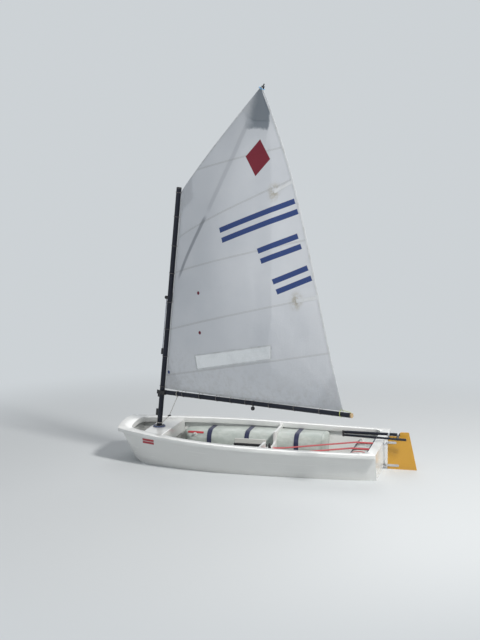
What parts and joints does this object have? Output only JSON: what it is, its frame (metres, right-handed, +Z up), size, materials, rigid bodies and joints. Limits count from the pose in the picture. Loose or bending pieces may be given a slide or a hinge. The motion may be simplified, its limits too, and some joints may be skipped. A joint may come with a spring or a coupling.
{
  "type": "sailing dinghy",
  "caption": "Small square bowed sailing dinghy afloat, with a free standing mast, sprit sail, daggerboard, rudder and tiller.",
  "frame": {"origin": "centreline of the hull, amidships, at the waterline", "axes": "+X to the bow, +Y to port, +Z up"},
  "size_m": [2.6312, 1.327, 4.1362],
  "materials": {
    "hull_white": "glossy gelcoat, light wear",
    "thwart_grey": "pale grey gelcoat",
    "fitting_black": "moulded nylon",
    "spar_black": "black anodised",
    "plug_tan": "moulded plastic",
    "sail_white": "woven polyester sailcloth",
    "bag_grey": "coated buoyancy bag cloth",
    "strap_navy": "webbing",
    "strap_red": "webbing",
    "cord_white": "thin lashing",
    "cord_dark": "braided line",
    "cord_yellow": "braided line",
    "foil_white": "painted foil",
    "foil_yellow": "yellow orange gelcoat",
    "steel": "stainless steel"
  },
  "bodies": {
    "hull": {"hull_shell": "hull_white", "gunwale": "hull_white", "mast_thwart": "thwart_grey", "mast_collar": "fitting_black", "mast_step": "hull_white", "midship_frame": "hull_white", "daggerboard_trunk": "hull_white", "buoyancy_bag_port": "bag_grey", "buoyancy_bag_starboard": "bag_grey", "buoyancy_bag_stern": "bag_grey", "bag_straps_port": "strap_navy", "bag_straps_starboard": "strap_navy", "bag_straps_stern": "strap_navy", "hiking_straps": "strap_red", "gudgeon_upper": "steel", "gudgeon_lower": "steel", "mast_safety_loop": "cord_dark", "ratchet_block": "fitting_black"},
    "board": {"daggerboard": "foil_white", "daggerboard_stop": "fitting_black"},
    "rig": {"mast": "spar_black", "mast_top_plug": "fitting_black", "boom": "spar_black", "boom_end_plug": "plug_tan", "boom_jaws": "fitting_black", "sprit": "spar_black", "sprit_ends": "fitting_black", "sail": "sail_white", "luff_ties": "cord_white", "foot_ties": "cord_white", "boom_block": "fitting_black", "vang_line": "cord_white", "vang_toggle": "fitting_black", "mast_cleats": "fitting_black", "sprit_block": "fitting_black", "sprit_line": "cord_dark", "outhaul": "cord_yellow", "peak_tie": "cord_dark"},
    "rudder": {"rudder_blade": "foil_yellow", "pintle_upper": "steel", "pintle_lower": "steel", "tiller_clamps": "steel", "tiller": "spar_black", "tiller_joint": "fitting_black"},
    "extension": {"extension_eye": "fitting_black", "tiller_extension": "spar_black", "extension_grip": "fitting_black"}
  },
  "joints": [
    {"name": "rig_turn", "type": "hinge", "parent": "hull", "child": "rig", "pos_m": [0.88, 0, 0.262], "axis": [-0.1002, 0, 0.995], "range_deg": [-68, 112]},
    {"name": "rudder_turn", "type": "hinge", "parent": "hull", "child": "rudder", "pos_m": [-1.18, 0, 0.1], "axis": [0, 0, 1], "range_deg": [-60, 60]},
    {"name": "extension_turn", "type": "hinge", "parent": "rudder", "child": "extension", "pos_m": [-0.8046, 0, 0.276], "axis": [0, 0, 1], "range_deg": [-346, 0]},
    {"name": "board_lift", "type": "slide", "parent": "hull", "child": "board", "axis": [0, 0, 1], "range_m": [0, 0.3]}
  ]
}
